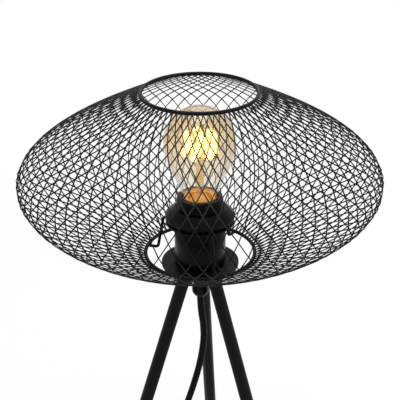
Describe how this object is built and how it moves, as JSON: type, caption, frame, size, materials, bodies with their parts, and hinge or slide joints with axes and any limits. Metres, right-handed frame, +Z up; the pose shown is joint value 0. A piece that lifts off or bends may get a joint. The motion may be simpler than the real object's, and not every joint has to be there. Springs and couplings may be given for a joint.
{
  "type": "table lamp",
  "caption": "Table lamp with a saucer shade of black expanded metal around an amber filament bulb, on a slim splayed tripod, with a cord, an in-line switch and a plug",
  "frame": {"origin": "on the table under the lamp's axis, at the level of the feet's soles", "axes": "+Z up along the lamp's axis, -Y towards the picture's camera, +X to its right"},
  "size_m": [0.3012, 0.3012, 0.4216],
  "materials": {
    "black_metal": "satin",
    "holder_black": "satin",
    "switch_black": "satin",
    "cord_black": "matte",
    "foot_rubber": "matte",
    "insert_white": "gloss",
    "insulator_black": "gloss",
    "lead_brown": "matte",
    "brass": "polished",
    "steel": "satin",
    "cap_metal": "satin",
    "amber_glass": "gloss",
    "clear_glass": "gloss",
    "filament_yellow": "matte"
  },
  "bodies": {
    "stand": {"base_disc": "black_metal", "leg_left": "black_metal", "leg_right": "black_metal", "leg_back": "black_metal", "foot_left": "foot_rubber", "foot_right": "foot_rubber", "foot_back": "foot_rubber", "holder_skirt": "holder_black", "holder_sleeve": "holder_black", "holder_insert": "insert_white", "screw_shell_contact": "brass", "centre_contact": "brass", "nipple": "steel", "nipple_nut": "steel", "terminal_blocks": "brass", "terminal_screws": "steel", "lead_wires": "lead_brown", "cord_grip": "holder_black", "cord_hanging": "cord_black", "cord_link": "cord_black", "cord_tail": "cord_black", "cord_coil": "cord_black", "cord_tie": "cord_black", "switch_lower_shell": "switch_black", "switch_upper_shell": "switch_black", "switch_contacts": "brass", "switch_screws": "steel", "plug_body": "switch_black", "plug_pins": "steel"},
    "shade": {"shade_strands_left": "black_metal", "shade_strands_right": "black_metal", "shade_fitter": "black_metal", "shade_top_ring": "black_metal", "shade_bottom_ring": "black_metal", "shade_arm_left": "black_metal", "shade_arm_back": "black_metal", "shade_arm_front": "black_metal"},
    "shade_ring": {"shade_ring": "holder_black"},
    "bulb_tip": {"bulb_tip": "cap_metal"},
    "bulb": {"bulb_glass": "amber_glass", "bulb_cap": "cap_metal", "bulb_insulator": "insulator_black", "bulb_stem": "clear_glass", "bulb_filaments": "filament_yellow", "filament_supports": "steel"},
    "switch_rocker": {"switch_rocker": "switch_black"}
  },
  "joints": [
    {"name": "shade_turn", "type": "hinge", "parent": "stand", "child": "shade", "pos_m": [0, 0, 0.305], "axis": [0, 0, 1], "continuous": true},
    {"name": "ring_turn", "type": "hinge", "parent": "stand", "child": "shade_ring", "pos_m": [0, 0, 0.312], "axis": [0, 0, 1], "range_deg": [0, 90]},
    {"name": "bulb_lift", "type": "slide", "parent": "stand", "child": "bulb_tip", "axis": [0, 0, 1], "range_m": [0, 0.0145]},
    {"name": "bulb_turn", "type": "hinge", "parent": "bulb_tip", "child": "bulb", "pos_m": [0, 0, 0.315], "axis": [0, 0, 1], "range_deg": [0, 1440]},
    {"name": "switch_tip", "type": "hinge", "parent": "stand", "child": "switch_rocker", "pos_m": [0.015, -0.086, 0.011], "axis": [0, 1, 0], "range_deg": [-16, 0]}
  ],
  "couplings": [
    {"joint": "bulb_lift", "follows": "bulb_turn", "m_per_rad": 0.00057614}
  ]
}
